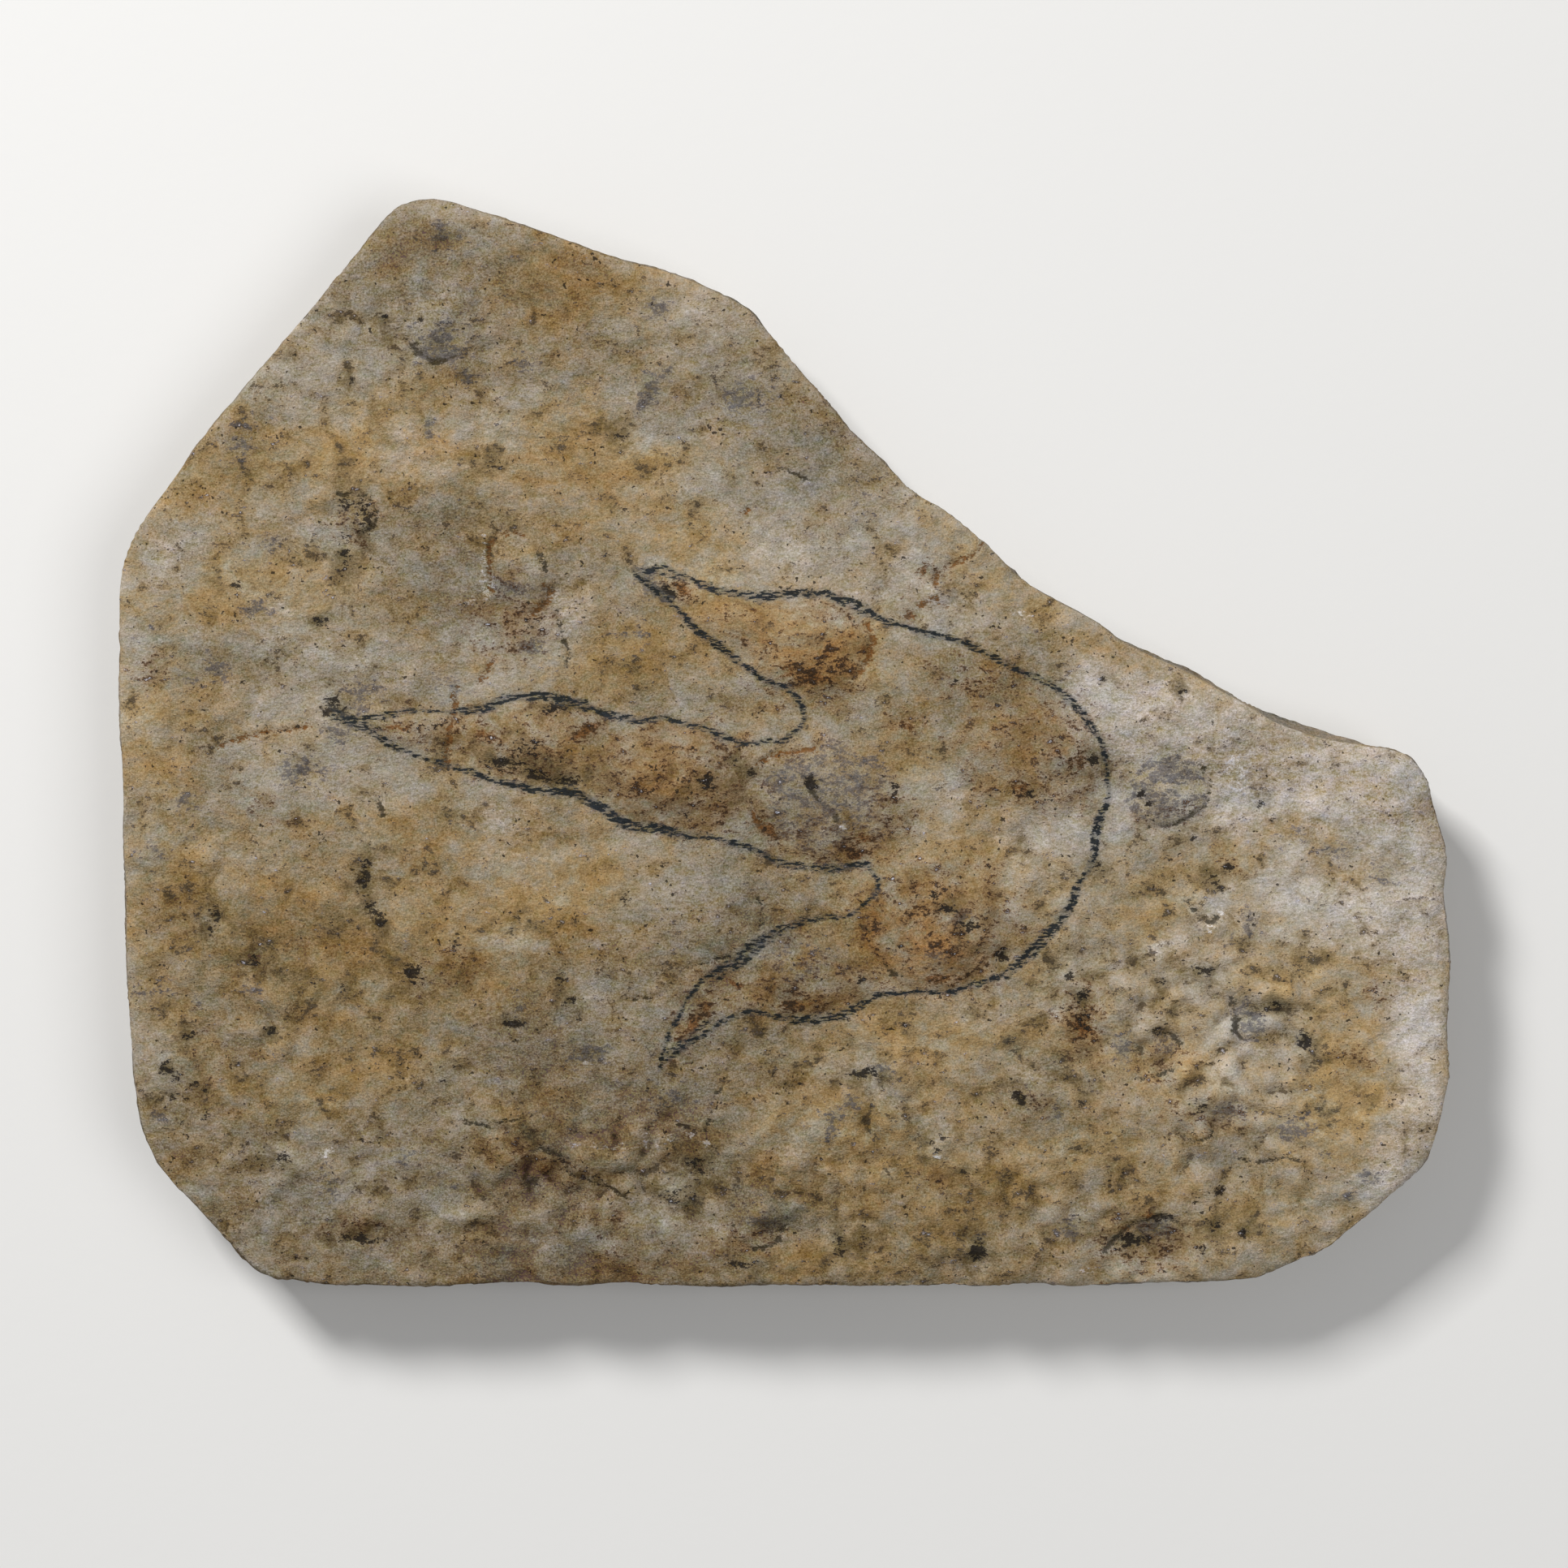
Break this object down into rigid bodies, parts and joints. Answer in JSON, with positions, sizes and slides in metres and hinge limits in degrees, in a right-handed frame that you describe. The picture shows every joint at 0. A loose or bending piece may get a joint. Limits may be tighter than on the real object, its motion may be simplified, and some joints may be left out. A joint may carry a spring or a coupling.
{
  "type": "dinosaur footprint slab",
  "caption": "Slab of tan sandstone with the raised cast of a three-toed dinosaur footprint on its face, flat back to lie or be set on",
  "frame": {"origin": "middle of the slab's bounding rectangle, on its flat back", "axes": "+Z out of the footprint face, +X from the tip of the middle toe to the heel, +Y towards the slab's narrow end"},
  "size_m": [0.243, 0.199, 0.0211],
  "materials": {
    "sandstone": "matte"
  },
  "bodies": {
    "root": {"footprint_slab": "sandstone"}
  },
  "joints": []
}
